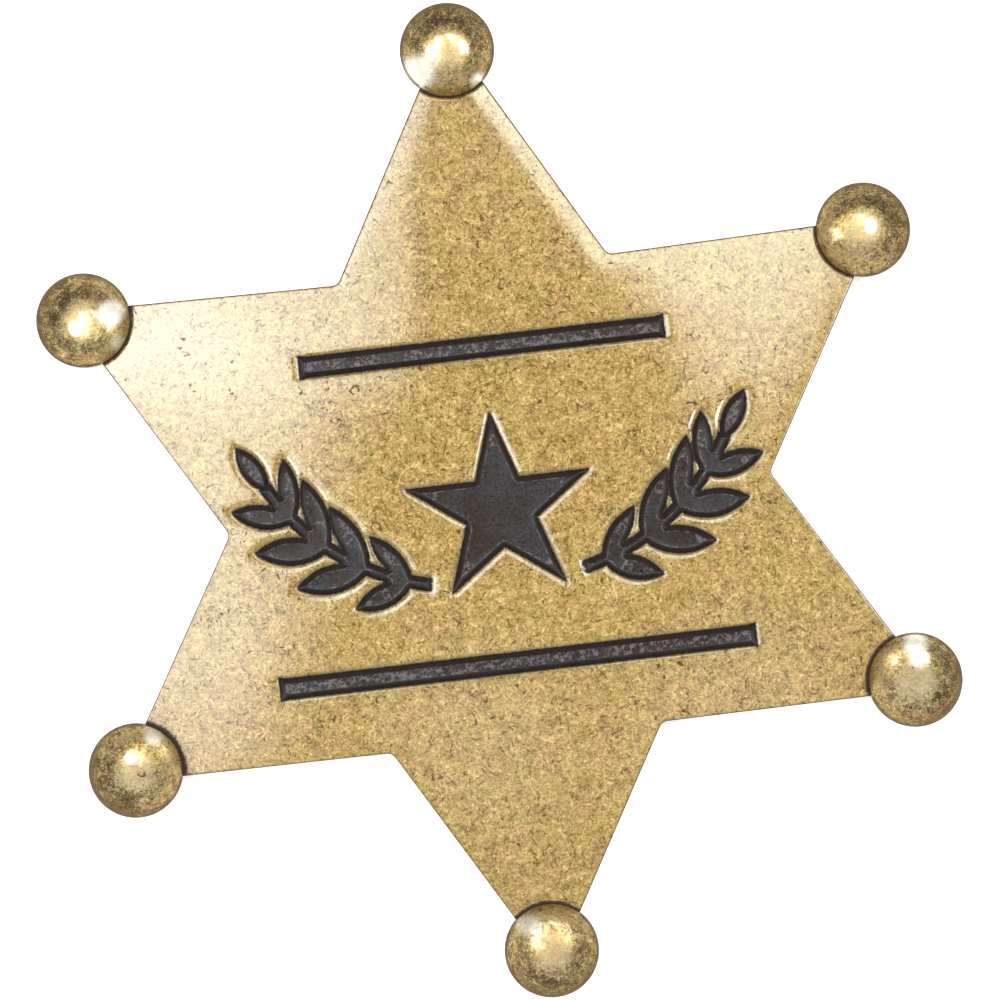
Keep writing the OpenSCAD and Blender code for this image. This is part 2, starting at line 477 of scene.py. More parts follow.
class Layout:
    """Points of the plane, thinned so that none lies too close to one that came before."""

    def __init__(self, fixed):
        self.kept = fixed.tolist()

    def add(self, points, least):
        cells = {}

        def cell(x, y):
            return math.floor(x / least), math.floor(y / least)

        for place in self.kept:
            cells.setdefault(cell(*place), []).append(place)
        for place in points.tolist():
            i, j = cell(*place)
            near = [
                other
                for column in (i - 1, i, i + 1)
                for row in (j - 1, j, j + 1)
                for other in cells.get((column, row), ())
            ]
            if all(math.dist(place, other) >= least for other in near):
                cells.setdefault((i, j), []).append(place)
                self.kept.append(place)


def ring(outline, distance):
    """Points at a distance to the left of a closed outline."""
    ahead = np.roll(outline, -1, axis=0) - np.roll(outline, 1, axis=0)
    left = np.column_stack([-ahead[:, 1], ahead[:, 0]]) / lengths(ahead)
    return outline + distance * left


def hexagonal(low, high, step):
    """Points of a plain triangular net over a rectangle."""
    rows = []
    for row, y in enumerate(np.arange(low[1], high[1], step * math.sqrt(0.75))):
        x = np.arange(low[0], high[0], step) + (row % 2) * step / 2
        rows.append(np.column_stack([x, np.full(len(x), y)]))
    return np.vstack(rows)


def triangulated(points, loops):
    """Delaunay triangles over the points, which keep every side of the loops."""
    sides = []
    for loop in loops:
        sides.extend(zip(loop.tolist(), np.roll(loop, -1).tolist()))
    flat, _, faces, origins, _, _ = geometry.delaunay_2d_cdt(points.tolist(), sides, [], 0, MERGE)
    new_index = np.full(len(points), -1)
    for index, olds in enumerate(origins):
        for old in olds:
            new_index[old] = index
    return np.array([tuple(v) for v in flat]), np.array(faces), new_index


def in_scene(name, data):
    """A new object in the scene."""
    made = bpy.data.objects.new(name, data)
    bpy.context.scene.collection.objects.link(made)
    return made


class Solid:
    """Points and triangles of one mesh, with a smoothing group for each triangle."""

    def __init__(self):
        self.points = []
        self.count = 0
        self.values = {}
        self.triangles = []
        self.groups = []
        self.exact = {}

    def add(self, points, **values):
        """Adds points with some values of their own, the rest of which are 0, and gives their indices."""
        start = self.count
        self.points.append(np.asarray(points, float))
        self.count += len(points)
        for name in {**self.values, **values}:
            column = self.values.setdefault(name, [np.zeros(start)])
            column.append(np.broadcast_to(values.get(name, 0.0), len(points)).astype(float))
        return np.arange(start, self.count)

    def face(self, triangles, group, outward):
        """Adds triangles, turned so that each looks the way that outward gives for its middle."""
        triangles = np.asarray(triangles).reshape(-1, 3)
        points = np.vstack(self.points)[triangles]
        normals = np.cross(points[:, 1] - points[:, 0], points[:, 2] - points[:, 0])
        wanted = outward(points.mean(axis=1)) if callable(outward) else np.asarray(outward, float)
        wrong = (normals * wanted).sum(axis=1) < 0
        triangles[wrong] = triangles[wrong][:, ::-1]
        self.triangles.append(triangles)
        self.groups.append(np.full(len(triangles), group))

    def grid(self, rows, group, outward, closed=True):
        """Adds the cells between rows of points, each row as long as the next."""
        rows = np.asarray(rows)
        ends = np.roll(rows, -1, axis=1) if closed else rows[:, 1:]
        starts = rows if closed else rows[:, :-1]
        a, b, c, d = starts[:-1], ends[:-1], ends[1:], starts[1:]
        cells = [np.stack([a, b, c], axis=-1), np.stack([a, c, d], axis=-1)]
        self.face(np.concatenate([x.reshape(-1, 3) for x in cells]), group, outward)

    def fan(self, row, middle, group, outward):
        """Adds the triangles between a closed row of points and one in its middle."""
        first = np.full(len(row), middle[0])
        self.face(np.column_stack([first, row, np.roll(row, -1)]), group, outward)

    def quads(self, quads, group, outward):
        self.face(np.concatenate([quads[:, [0, 1, 2]], quads[:, [0, 2, 3]]]), group, outward)

    def build(self, name):
        """Makes the mesh, smooth within each group and sharp between groups."""
        points = np.vstack(self.points)
        triangles = np.vstack(self.triangles)
        groups = np.concatenate(self.groups)
        a, b, c = points[triangles].transpose(1, 0, 2)
        facing = np.cross(b - a, c - a)
        corner_normals = np.empty((len(triangles), 3, 3))
        for group in np.unique(groups):
            chosen = groups == group
            total = np.zeros_like(points)
            for corner in range(3):
                np.add.at(total, triangles[chosen][:, corner], facing[chosen])
            if group in self.exact:
                indices, normals = self.exact[group]
                total[indices] = normals
            corner_normals[chosen] = total[triangles[chosen]]
        length = np.linalg.norm(corner_normals, axis=2, keepdims=True)
        corner_normals /= np.maximum(length, TINY)
        mesh = bpy.data.meshes.new(name)
        mesh.vertices.add(len(points))
        mesh.vertices.foreach_set("co", (points * MM).ravel())
        mesh.loops.add(3 * len(triangles))
        mesh.loops.foreach_set("vertex_index", triangles.ravel())
        mesh.polygons.add(len(triangles))
        mesh.polygons.foreach_set("loop_start", np.arange(0, 3 * len(triangles), 3))
        mesh.polygons.foreach_set("loop_total", np.full(len(triangles), 3))
        mesh.update(calc_edges=True)
        mesh.polygons.foreach_set("use_smooth", np.ones(len(triangles), bool))
        for value_name, columns in self.values.items():
            layer = mesh.attributes.new(value_name, "FLOAT", "POINT")
            layer.data.foreach_set("value", np.concatenate(columns).astype(np.float32))
        mesh.normals_split_custom_set(corner_normals.reshape(-1, 3).tolist())
        return in_scene(name, mesh)


def at_height(points, height):
    return np.column_stack([points, np.broadcast_to(height, len(points))])


def recess_loops():
    """Closed outlines of every sunk shape, counterclockwise."""
    loops = [closed_run(corners) for corners in BARS.values()]
    loops.append(closed_run(SMALL_STAR))
    right = [stem_points()] + [leaf_points(*leaf)[::-1] for leaf in LEAVES]
    return loops + right + [mirrored(points) for points in right]


def area(outline):
    """Area inside a closed outline, negative where it runs clockwise."""
    x, y = outline.T
    return (x * np.roll(y, -1) - y * np.roll(x, -1)).sum() / 2


def face_layout():
    """Points of the face in the plane, the loops of them that stay sharp, and each ball's arc."""
    runs, arcs = plate_outline()
    outline = np.vstack(runs)
    loops = [outline] + [loop if area(loop) > 0 else loop[::-1] for loop in recess_loops()]
    fixed = np.vstack(loops)
    starts = np.cumsum([0] + [len(loop) for loop in loops])
    indices = [np.arange(starts[n], starts[n + 1]) for n in range(len(loops))]
    layout = Layout(fixed)

    def clear_of_all(points):
        return nearest_recess(points), -plate_distance(points), ball_distance(points)

    for distance, spacing in OUTER_RINGS:
        around = [ring(outline, distance)] + [ring(loop, -distance) for loop in loops[1:]]
        points = np.vstack(around)
        sunk, edge, ball = clear_of_all(points)
        nearest = np.minimum(np.minimum(np.abs(sunk), edge), ball)
        layout.add(points[(nearest > RING_CLEAR * distance) & (sunk > 0)], RING_THIN * spacing)
    for distance, spacing in INNER_RINGS:
        points = np.vstack([ring(loop, distance) for loop in loops[1:]])
        layout.add(points[nearest_recess(points) < -RING_CLEAR * distance], RING_THIN * spacing)
    net = hexagonal(outline.min(axis=0), outline.max(axis=0), FIELD_STEP)
    sunk, edge, ball = clear_of_all(net)
    layout.add(net[(edge > FIELD_CLEAR) & (ball > FIELD_CLEAR)], FIELD_THIN * FIELD_STEP)
    starts = np.cumsum([0] + [len(run) for run in runs])
    arc_ids = [np.arange(start, start + len(points)) for start, points in zip(starts, arcs)]
    return np.array(layout.kept), indices, arc_ids


def ball_grid_heights(free, top, back):
    """Heights at which the plate's face and back meet each column of a ball, free ones last."""
    t = np.arange(1, free + 1) / (free + 1)
    sag = np.sin(math.pi * t)
    ahead = top[-1] + (top[0] - top[-1]) * t
    under = back[-1] + (back[0] - back[-1]) * t
    rest_top = ahead + (BALL_Z - ahead) * sag**0.5
    rest_back = under + (BALL_FOOT - under) * sag
    return np.concatenate([top, rest_top]), np.concatenate([back, rest_back])


def is_on_plate(p):
    return (plate_distance(p) < 0) & (ball_distance(p) > -BALL_TOUCH)


def make_star(points, loops, arc_ids):
    """The metal of the badge in one watertight mesh, and the triangles of its recess floors."""
    flat, triangles, new_index = triangulated(points, loops)
    middles = flat[triangles].mean(axis=1)
    sunk = is_on_plate(middles) & (nearest_recess(middles) < 0)
    land = is_on_plate(middles) & ~sunk

    solid = Solid()
    used = np.unique(triangles[land])
    top_of = np.full(len(flat), -1)
    top_of[used] = solid.add(
        at_height(flat[used], face_height(flat[used])),
        recess=np.exp(-np.clip(nearest_recess(flat[used]), 0, None) / RECESS_GRIME_W),
        edge=np.exp(-np.clip(-plate_distance(flat[used]), 0, None) / EDGE_GRIME_W),
        crease=plate_crease(flat[used]),
    )
    solid.face(top_of[triangles[land]], "face", [0, 0, 1])
    solid.exact["face"] = (top_of[used], slope_normals(flat[used], face_height))

    floor_used = np.unique(triangles[sunk])
    floor_of = np.full(len(flat), -1)
    floor_height = crown_height(flat[floor_used], CROWN_R - RECESS_DEPTH)
    floor_of[floor_used] = solid.add(at_height(flat[floor_used], floor_height), recess=1.0)
    solid.face(floor_of[triangles[sunk]], "recess floor", [0, 0, 1])

    walls = shared_sides(triangles[land], triangles[sunk])
    quads = np.array([[top_of[a], top_of[b], floor_of[b], floor_of[a]] for a, b in walls])
    solid.quads(quads, "recess wall", lambda middles: -gradient(middles, nearest_recess))

    outline = new_index[loops[0]]
    back_of = back_plate(solid, flat, outline)
    arc_columns = [new_index[ids] for ids in arc_ids]
    arc_sides = {side for ids in arc_columns for side in zip(ids[:-1].tolist(), ids[1:].tolist())}
    sides = [
        (a, b)
        for a, b in zip(outline.tolist(), np.roll(outline, -1).tolist())
        if (a, b) not in arc_sides
    ]
    quads = np.array([[top_of[a], top_of[b], back_of[b], back_of[a]] for a, b in sides])
    solid.quads(quads, "side", lambda middles: gradient(middles, plate_distance))
    for k in range(POINTS):
        make_ball(solid, k, top_of[arc_columns[k]], back_of[arc_columns[k]])
    return solid, flat, triangles[sunk]


def side_pairs(triangles):
    """The points at the ends of every side of the triangles."""
    return np.vstack([triangles[:, [0, 1]], triangles[:, [1, 2]], triangles[:, [2, 0]]])


def shared_sides(first, second):
    """Sides that a triangle of each set has in common."""
    sides = [set(map(tuple, np.sort(side_pairs(x), axis=1).tolist())) for x in (first, second)]
    return sorted(sides[0] & sides[1])


def gradient(places, distance, step=0.01):
    """Direction in which a distance over the plane grows, as seen from places in space."""
    ahead = np.column_stack(slopes(places[:, :2], distance, step))
    return at_height(ahead / lengths(ahead), 0)


def back_plate(solid, flat, outline):
    """Plain crowned back of the plate, on the same outline as the face."""
    edge = flat[outline]
    net = hexagonal(edge.min(axis=0), edge.max(axis=0), BACK_STEP)
    clear = (plate_distance(net) < -BACK_CLEAR) & (ball_distance(net) > BACK_CLEAR)
    points = np.vstack([edge, net[clear]])
    loop = np.arange(len(edge))
    back_flat, triangles, new_index = triangulated(points, [loop])
    middles = back_flat[triangles].mean(axis=1)
    triangles = triangles[is_on_plate(middles)]
    grime = np.zeros(len(back_flat))
    grime[new_index[loop]] = SIDE_GRIME
    ids = solid.add(at_height(back_flat, crown_height(back_flat, CROWN_BACK_R)), edge=grime)
    solid.face(ids[triangles], "back", [0, 0, -1])
    back_of = np.full(len(flat), -1)
    back_of[outline] = ids[new_index[loop]]
    return back_of


def turned(place):
    """A place in the photograph, turned into the badge's own directions."""
    return np.array([place[0] * math.cos(TURN) + place[1] * math.sin(TURN),
                     place[1] * math.cos(TURN) - place[0] * math.sin(TURN)])


def ball_patches(patches, share, angles):
    """How much of some patches a ball shows at a share of its radius, in each direction."""
    place = share * directions(angles)
    total = np.zeros(len(angles))
    for x, y, reach, strength in patches:
        off = np.linalg.norm(place - turned((x, y)), axis=1)
        total = np.maximum(total, strength * eased(off, reach, PATCH_CORE * reach))
    return total


def make_ball(solid, k, top_ids, back_ids):
    """One ball tip: dome, wall, foot ring and the hollow behind it, joined to the plate's points."""
    centre = ball_centre(k)
    angles, joined = ball_angles(k)
    placed = np.vstack(solid.points)
    top, back = ball_grid_heights(len(angles) - joined, placed[top_ids][:, 2], placed[back_ids][:, 2])
    circle = centre + BALL_R * directions(angles)
    free = slice(joined, None)

    def added(places, height, grime):
        return solid.add(at_height(places, height), edge=grime, ball=1.0, rim=1.0)

    def outward(middles):
        return at_height(middles[:, :2] - centre, 0)

    top_row = np.concatenate([top_ids, added(circle[free], top[free], BALL_SIDE_GRIME)])
    back_row = np.concatenate([back_ids, added(circle[free], back[free], BALL_BACK_GRIME)])
    make_dome(solid, k, top, top_row)
    wall = [np.concatenate([[row[joined - 1]], row[joined:], [row[0]]]) for row in (top_row, back_row)]
    solid.grid(wall, f"dome {k}", outward, closed=False)
    upper_foot = added(circle, FOOT_BREAK, BALL_SIDE_GRIME)
    inner = centre + (BALL_R - FOOT_BREAK) * directions(angles)
    lower_foot = added(inner, 0, FOOT_GRIME)
    solid.grid([back_row, upper_foot], f"wall {k}", outward)
    solid.grid([upper_foot, lower_foot], f"foot break {k}", outward)
    make_hollow(solid, k, lower_foot)


def make_dome(solid, k, top, top_row):
    """A ball's dome, in rows of points from its middle out to the row where it meets plate and wall."""
    centre = ball_centre(k)
    angles, joined = ball_angles(k)
    lean = dict(zip(("lean_x", "lean_y"), turned(BALL_LEANS[k])))
    apex = solid.add([[*centre, BALL_TOP]], ball=1.0, **lean)
    near_plate = np.where(np.arange(len(angles)) < joined, 1.0, 0.0)
    outward_side_shade = np.cos(angles - ball_angle(k))
    power = 2 / BALL_FULLNESS
    rows = []
    for row in range(1, BALL_ROWS):
        tilt = math.pi / 2 * row / BALL_ROWS
        out = BALL_R * math.sin(tilt) ** power
        up = top + (BALL_TOP - top) * math.cos(tilt) ** power
        share = out / BALL_R
        rows.append(solid.add(
            at_height(centre + out * directions(angles), up),
            ball=1.0,
            rim=share,
            # Painted shade: each ball's outward side is darkened as if it mirrored darker surroundings
            outer=share * outward_side_shade,
            crease=near_plate * max(0, 1 - (BALL_R - out) / BALL_CREASE_W),
            edge=OUTLINE_SHARE * (1 - near_plate) * eased(share, OUTLINE_FROM, OUTLINE_FULL),
            # Bright patches painted into the ball's colour: painted highlights
            gleam=ball_patches(BALL_PAINTED_HIGHLIGHTS[k], share, angles),
            dull=ball_patches(BALL_DULLS[k], share, angles),
            **lean,
        ))
    rows.append(top_row)
    solid.grid(rows, f"dome {k}", lambda middles: middles - [*centre, BALL_Z])
    solid.fan(rows[0], apex, f"dome {k}", [0, 0, 1])


def make_hollow(solid, k, lower_foot):
    """The flat ring that a ball stands on, and the round hollow inside it."""
    centre = ball_centre(k)
    around = directions(ball_angles(k)[0])
    hollow_r = BALL_R - BALL_WALL
    hollow_edge = solid.add(at_height(centre + hollow_r * around, 0), hollow=HOLLOW_EDGE)
    solid.grid([lower_foot, hollow_edge], f"foot {k}", [0, 0, -1])
    rows = [hollow_edge]
    for row in range(HOLLOW_ROWS):
        tilt = math.pi / 2 * (1 - row / HOLLOW_ROWS)
        inner = centre + hollow_r * math.sin(tilt) * around
        rows.append(solid.add(at_height(inner, BALL_Z + hollow_r * math.cos(tilt)), hollow=1.0))
    crown = solid.add([[*centre, BALL_Z + hollow_r]], hollow=1.0)
    solid.grid(rows, f"hollow {k}", lambda middles: [*centre, BALL_Z] - middles)
    solid.fan(rows[-1], crown, f"hollow {k}", [0, 0, -1])


ENAMELS = {
    "enamel_upper_bar": lambda p: polygon_distance(p, BARS["enamel_upper_bar"]),
    "enamel_lower_bar": lambda p: polygon_distance(p, BARS["enamel_lower_bar"]),
    "enamel_centre_star": lambda p: polygon_distance(p, SMALL_STAR),
    "enamel_left_spray": lambda p: np.where(p[:, 0] < 0, np.min(spray_parts(p), axis=0), 1),
    "enamel_right_spray": lambda p: np.where(p[:, 0] > 0, np.min(spray_parts(p), axis=0), 1),
}


def enamel_drop(inside):
    """How far the enamel lies below the face: down a steep side, through a fillet, to a floor."""
    t = inside / ENAMEL_WALL_W
    low, high = 1 - ENAMEL_FILLET, 1 + ENAMEL_FILLET
    filleted = t - (t - low) ** 2 / (4 * ENAMEL_FILLET)
    share = np.where(t < low, t, np.where(t > high, 1, filleted))
    return ENAMEL_RIM + (ENAMEL_FLOOR - ENAMEL_RIM) * share


def make_enamel(name, flat, triangles):
    """Enamel in one recess, a little clear of the metal all round."""
    distance = ENAMELS[name]
    inner = triangles[distance(flat[triangles].mean(axis=1)) < 0]
    used, own = np.unique(inner, return_inverse=True)
    own = own.reshape(-1, 3)
    points = flat[used]
    pairs = side_pairs(own)
    ordered = np.sort(pairs, axis=1)
    _, inverse, counts = np.unique(ordered, axis=0, return_inverse=True, return_counts=True)
    rim_sides = pairs[counts[inverse.ravel()] == 1]
    rim = np.unique(rim_sides)
    inside = distance_to_sides(points, points[rim_sides[:, 0]], points[rim_sides[:, 1]])
    moved = points.copy()
    moved[rim] -= ENAMEL_CLEAR * rim_outward(points, rim_sides, distance)[rim]

    solid = Solid()
    upper = solid.add(at_height(moved, crown_height(moved) - enamel_drop(inside)), depth=inside)
    lower = solid.add(at_height(moved, crown_height(moved) - (RECESS_DEPTH - ENAMEL_GAP)))
    solid.face(upper[own], "top", [0, 0, 1])
    solid.face(lower[own], "bottom", [0, 0, -1])
    a, b = rim_sides.T
    quads = np.column_stack([upper[a], upper[b], lower[b], lower[a]])
    solid.quads(quads, "side", lambda middles: gradient(middles, distance))
    return solid.build(name.replace("enamel", "fill"))


def rim_outward(points, rim_sides, distance, probe=0.01):
    """Direction out of an outline at each of its points, from the sides that meet there."""
    a, b = points[rim_sides.T]
    side = b - a
    across = np.column_stack([side[:, 1], -side[:, 0]])
    test = distance((a + b) / 2 + probe * across / lengths(across))
    across[test < 0] *= -1
    outward = np.zeros_like(points)
    for corner in (0, 1):
        np.add.at(outward, rim_sides[:, corner], across)
    return outward / lengths(outward)


def distance_to_sides(p, starts, ends, batch=400):
    """Distance from each point to the nearest of the sides."""
    nearest = np.full(len(p), np.inf)
    for first in range(0, len(starts), batch):
        a = starts[first:first + batch]
        side = ends[first:first + batch] - a
        away = p[:, None, :] - a[None]
        along = np.clip((away * side).sum(axis=2) / (side**2).sum(axis=1), 0, 1)
        off = away - along[:, :, None] * side
        nearest = np.minimum(nearest, (off**2).sum(axis=2).min(axis=1))
    return np.sqrt(nearest)


# Direction in which a noise's place is shifted
SHIFT_WAY = (1, 0.7, 0.3)


class Field:
    """What a shader node puts out: a value, place or colour that varies. Arithmetic adds Math nodes."""

    def __init__(self, tree, socket):
        self.tree = tree
        self.socket = socket

    def __add__(self, other):
        return calc(self.tree, "ADD", self, other)

    def __sub__(self, other):
        return calc(self.tree, "SUBTRACT", self, other)

    def __rsub__(self, other):
        return calc(self.tree, "SUBTRACT", other, self)

    def __mul__(self, other):
        return calc(self.tree, "MULTIPLY", self, other)

    def __truediv__(self, other):
        return calc(self.tree, "DIVIDE", self, other)

    def __rtruediv__(self, other):
        return calc(self.tree, "DIVIDE", other, self)

    def __abs__(self):
        return calc(self.tree, "ABSOLUTE", self)

    __radd__, __rmul__ = __add__, __mul__

    def clamped(self):
        """The same value, held between 0 and 1."""
        return calc(self.tree, "ADD", self, 0.0, clamp=True)


def connect(tree, node, inputs):
    """Sets or links some of a node's inputs. Each is a plain value or a Field."""
    for key, value in inputs.items():
        if isinstance(value, Field):
            tree.links.new(value.socket, node.inputs[key])
        else:
            node.inputs[key].default_value = value


def add(tree, kind, inputs, output=0, **settings):
    """Adds a shader node and gives one of its outputs."""
    node = tree.nodes.new(kind)
    for key, value in settings.items():
        setattr(node, key, value)
    connect(tree, node, inputs)
    return Field(tree, node.outputs[output])


def calc(tree, operation, *values, clamp=False):
    return add(tree, "ShaderNodeMath", dict(enumerate(values)), operation=operation, use_clamp=clamp)


def most(first, *others):
    """The highest of some values at each place."""
    total = first
    for value in others:
        total = calc(total.tree, "MAXIMUM", total, value)
    return total


def mixed(base, *parts):
    """A base value with each part's difference from its middle added in its own strength."""
    total = base
    for value, strength in parts:
        total = total + (value - 0.5) * strength
    return total


def vector_calc(operation, place, other=(0, 0, 0)):
    return add(place.tree, "ShaderNodeVectorMath", {0: place, 1: other}, operation=operation)


def rotated(place, angle):
    inputs = {"Vector": place, "Angle": angle}
    return add(place.tree, "ShaderNodeVectorRotate", inputs, rotation_type="Z_AXIS")


def millimetres(tree):
    return vector_calc("MULTIPLY", add(tree, "ShaderNodeTexCoord", {}, "Object"), (1 / MM,) * 3)


def shifted(place, distance):
    """The same place some distance away, where a noise doesn't match the first one."""
    return vector_calc("ADD", place, [distance * part for part in SHIFT_WAY])


def noise(place, scale, detail=2.0, roughness=0.5, distortion=0.0, shift=0):
    """Noise from 0 to 1, mostly near its middle, with so many features per millimetre."""
    inputs = {
        "Vector": shifted(place, shift) if shift else place,
        "Scale": scale,
        "Detail": detail,
        "Roughness": roughness,
        "Distortion": distortion,
    }
    return add(place.tree, "ShaderNodeTexNoise", inputs, "Fac")


def spread(value, low, high, to_low=0.0, to_high=1.0, *, kind="LINEAR"):
    """Takes values from low to high to another range, and holds all others at its ends."""
    inputs = {"Value": value, "From Min": low, "From Max": high, "To Min": to_low, "To Max": to_high}
    return add(value.tree, "ShaderNodeMapRange", inputs, "Result", clamp=True, interpolation_type=kind)


def smooth(value, *span):
    """Does as spread does, but eases in and out."""
    return spread(value, *span, kind="SMOOTHSTEP")


def ramp(value, stops):
    """Colour at a value, from colours at some of the values between 0 and 1."""
    colour = add(value.tree, "ShaderNodeValToRGB", {"Fac": value}, "Color")
    elements = colour.socket.node.color_ramp.elements
    while len(elements) < len(stops):
        elements.new(0.5)
    for element, (position, stop_colour) in zip(elements, stops):
        element.position = position
        element.color = stop_colour
    return colour


# Sockets of the Mix node for colours, whose names are not unique
MIX_SHARE, MIX_FIRST, MIX_SECOND, MIX_RESULT = 0, 6, 7, 2


def blend(share, first, second, kind="MIX"):
    inputs = {MIX_SHARE: share, MIX_FIRST: first, MIX_SECOND: second}
    return add(share.tree, "ShaderNodeMix", inputs, MIX_RESULT, data_type="RGBA", blend_type=kind)


def attribute(tree, name):
    return add(tree, "ShaderNodeAttribute", {}, "Fac", attribute_name=name)


def bump(height, strength, distance, **more):
    """Normal of a surface that rises by up to a distance in millimetres."""
    inputs = {"Height": height, "Strength": strength, "Distance": distance * MM, **more}
    return add(height.tree, "ShaderNodeBump", inputs, "Normal")


def material(name, inputs):
    """A new material, its nodes and its shader, with values for some of the shader's inputs."""
    made = bpy.data.materials.new(name)
    made.use_nodes = True
    shader = made.node_tree.nodes["Principled BSDF"]
    connect(made.node_tree, shader, inputs)
    return made, made.node_tree, shader


def grey(level):
    return (level, level, level, 1)


def linear(srgb):
    """Linear colour of a screen colour given in 0 to 255, by the curve that screens use."""
    share = np.array(srgb) / 255
    return (*np.where(share <= 0.04045, share / 12.92, ((share + 0.055) / 1.055) ** 2.4).tolist(), 1)


def between(share, tones):
    """Colour between two screen colours."""
    return blend(share, linear(tones[0]), linear(tones[1]))


# Screen colours of the brass
GOLD = (194, 170, 104)
WARM_GOLD = (196, 167, 107)
# Paler tone of a ball's middle: polish, and a painted highlight
POLISH_AND_HIGHLIGHT = (218, 198, 158)
# Tone of the outer zone of the balls: tarnish, and the floor's reflection painted in
TARNISH_AND_REFLECTION = (170, 150, 118)
# Colour of the painted highlights on the balls
PAINTED_HIGHLIGHT_TONE = (252, 247, 232)
# Colour of the balls' stain and of their painted shade, also used for the pits
BALL_STAIN_AND_SHADE = (84, 68, 48)
PATINA = (38, 30, 26)
# Colour of the crease round each ball: patina, and painted shade
CREASE_PATINA_AND_SHADE = (62, 49, 47)
# White that the lacquer adds to them, the light that they stand for, and the darkest base colour
SHINE = 0.06
MIRRORED = 1.18
LEAST_TONE = 0.004
# How the grain changes them, from its darkest fleck to its lightest one
GRAIN_STEPS = ((0.0, -68), (0.2, -36), (0.36, -13), (0.5, 0), (0.64, 12), (0.8, 30), (1.0, 49))
LEAST_SCREEN, MOST_SCREEN = 4, 254

# Plain settings of the brass: metal, whose mirror image has a tint at a slant, under a clear lacquer
BRASS_INPUTS = {
    "Metallic": 1.0,
    "Coat Roughness": 0.07,
    "Coat IOR": 2.0,
    "Specular Tint": (0.78, 0.69, 0.56, 1),
}

# Noises of the brass
FINE = dict(scale=5.0, roughness=0.8)
MEDIUM = dict(scale=0.9, roughness=0.8)
WAVES = dict(scale=3.3, roughness=1.0, distortion=0.5)
CLOUDS = dict(scale=0.55, detail=1, shift=61)
TONES = dict(scale=0.5, roughness=0.7, shift=77)
MOTTLE = dict(scale=1.05, detail=4, roughness=0.85, distortion=0.6)
SPECKS = dict(scale=7.5, roughness=0.9, shift=23)
PITTED = dict(scale=1.5, detail=1, distortion=1.2, shift=41)
STROKES = dict(scale=1, detail=1, roughness=0.6, distortion=0.5)
LINES_KEPT = dict(scale=0.4, detail=0)

# How strongly each noise changes the grain
GRAIN_WAVES, GRAIN_FINE, GRAIN_MEDIUM = 1.25, 0.9, 0.65

# Strokes of the grain: noise features per millimetre along, across and into them, directions in degrees,
# shift, the noise at which they start and are full, and their strength
STROKE_SHAPE = (1.6, 6.5, 3.5)
STROKE_SHIFT = 7
LIGHT_STROKES, LIGHT_STRENGTH = ((15, 75, 135), 2, 0.57, 0.73), 0.3
DARK_STROKES, DARK_STRENGTH = ((45, 105, 165), 41, 0.61, 0.74), 0.55
# Hairlines: features per millimetre, width in noise and shift, their strength, the share of their width
# that is full, and the noise at which they start and are full
LIGHT_LINES, LIGHT_LINE_STRENGTH = (0.21, 0.004, 3), 0.25
DARK_LINES, DARK_LINE_STRENGTH = (0.17, 0.003, 31), 0.3
LINE_CORE = 0.3
LINES_FROM = 0.58, 0.64

# Where tones of the brass start and are full, by the noise or by the share of a ball's radius. Two more
# numbers say what they come to there.
SECOND_TONE_FROM = 0.42, 0.62
STROKES_THIN = 0.4, 0.62, 0.6, 1.0
POLISH_AND_HIGHLIGHT_FROM, POLISH_AND_HIGHLIGHT_SHARE = (0.6, 0.3), 0.4
# Outer zone of a ball, and the share of its tarnish and painted reflection
OUTER_ZONE_FROM, TARNISH_AND_REFLECTION_SHARE = (0.5, 0.72), 0.45
PAINTED_HIGHLIGHT_BREAKUP = 0.3, 0.55, 0.75, 1.3
PITS_FROM = 0.71, 0.74, 0.0, 0.8
GRIME_WEAR, HOLLOW_GRIME = (0.25, 0.6, 0.6, 1.3), 0.6
CREASE_FINE, CREASE_MOTTLE, CREASE_FROM = 0.7, 1.0, (0.4, 0.75)

# Stain and painted shade of the balls: how much stain all have, what the noises change, what the painted
# shade of a ring round the middle and of the outer side, the outer zone and the rim add, and where it
# starts from the middle
STAIN_BASE, STAIN_MOTTLE, STAIN_SPECKS, STAIN_GRAIN = 0.3, 2.5, 2.2, -0.7
SHADE_RING, SHADE_RING_W, SHADE_RING_SHARE = 0.57, (0.16, 0.03), 0.22
OUTER_SHADE, OUTER_ZONE_DARKENING, RIM_STAIN = 0.5, 0.15, (0.8, 1.0, 0.0, 0.3)
STAIN_FROM = 0.2, 0.55

# Gloss of the brass: how much less metallic its patina is, which dark grain has lost its lacquer, how rough
# it is by its grain, how much smoother the balls are, and the strength and height of its bumps
PATINA_MATTE = 0.9
LACQUER_LOST = 0.26, 0.02, 0.0, 0.5
BRASS_ROUGH, BALL_SMOOTHER = (0.0, 1.0, 0.84, 0.72), 0.3
BRASS_BUMP = 0.2, 0.008


def in_metal(colour, shine=0.0):
    """Base colour that shows as a screen colour in the studio."""
    return (*(np.maximum(np.array(linear(colour)[:3]) - shine, LEAST_TONE) / MIRRORED).tolist(), 1)


def grain_stops(colour):
    """Colours from the darkest fleck to the lightest one."""
    return [
        (position, in_metal(np.clip(np.array(colour) + change, LEAST_SCREEN, MOST_SCREEN), SHINE))
        for position, change in GRAIN_STEPS
    ]


def strokes(place, angles, shift, low, high):
    """Short curved strokes in a few directions, from noise that is stretched along each of them."""
    kept = []
    for index, degrees in enumerate(angles):
        straight = rotated(shifted(place, shift + STROKE_SHIFT * index), math.radians(degrees))
        stretched = vector_calc("MULTIPLY", straight, STROKE_SHAPE)
        kept.append(spread(noise(stretched, **STROKES), low, high))
    return most(*kept)


def hairlines(place, scale, wide, shift):
    """Thin curved lines where a slow noise passes its middle, kept only here and there."""
    off_line = abs(noise(place, scale, detail=1, shift=shift) - 0.5)
    kept = spread(noise(place, shift=shift, **LINES_KEPT), *LINES_FROM)
    return spread(off_line, wide, LINE_CORE * wide) * kept


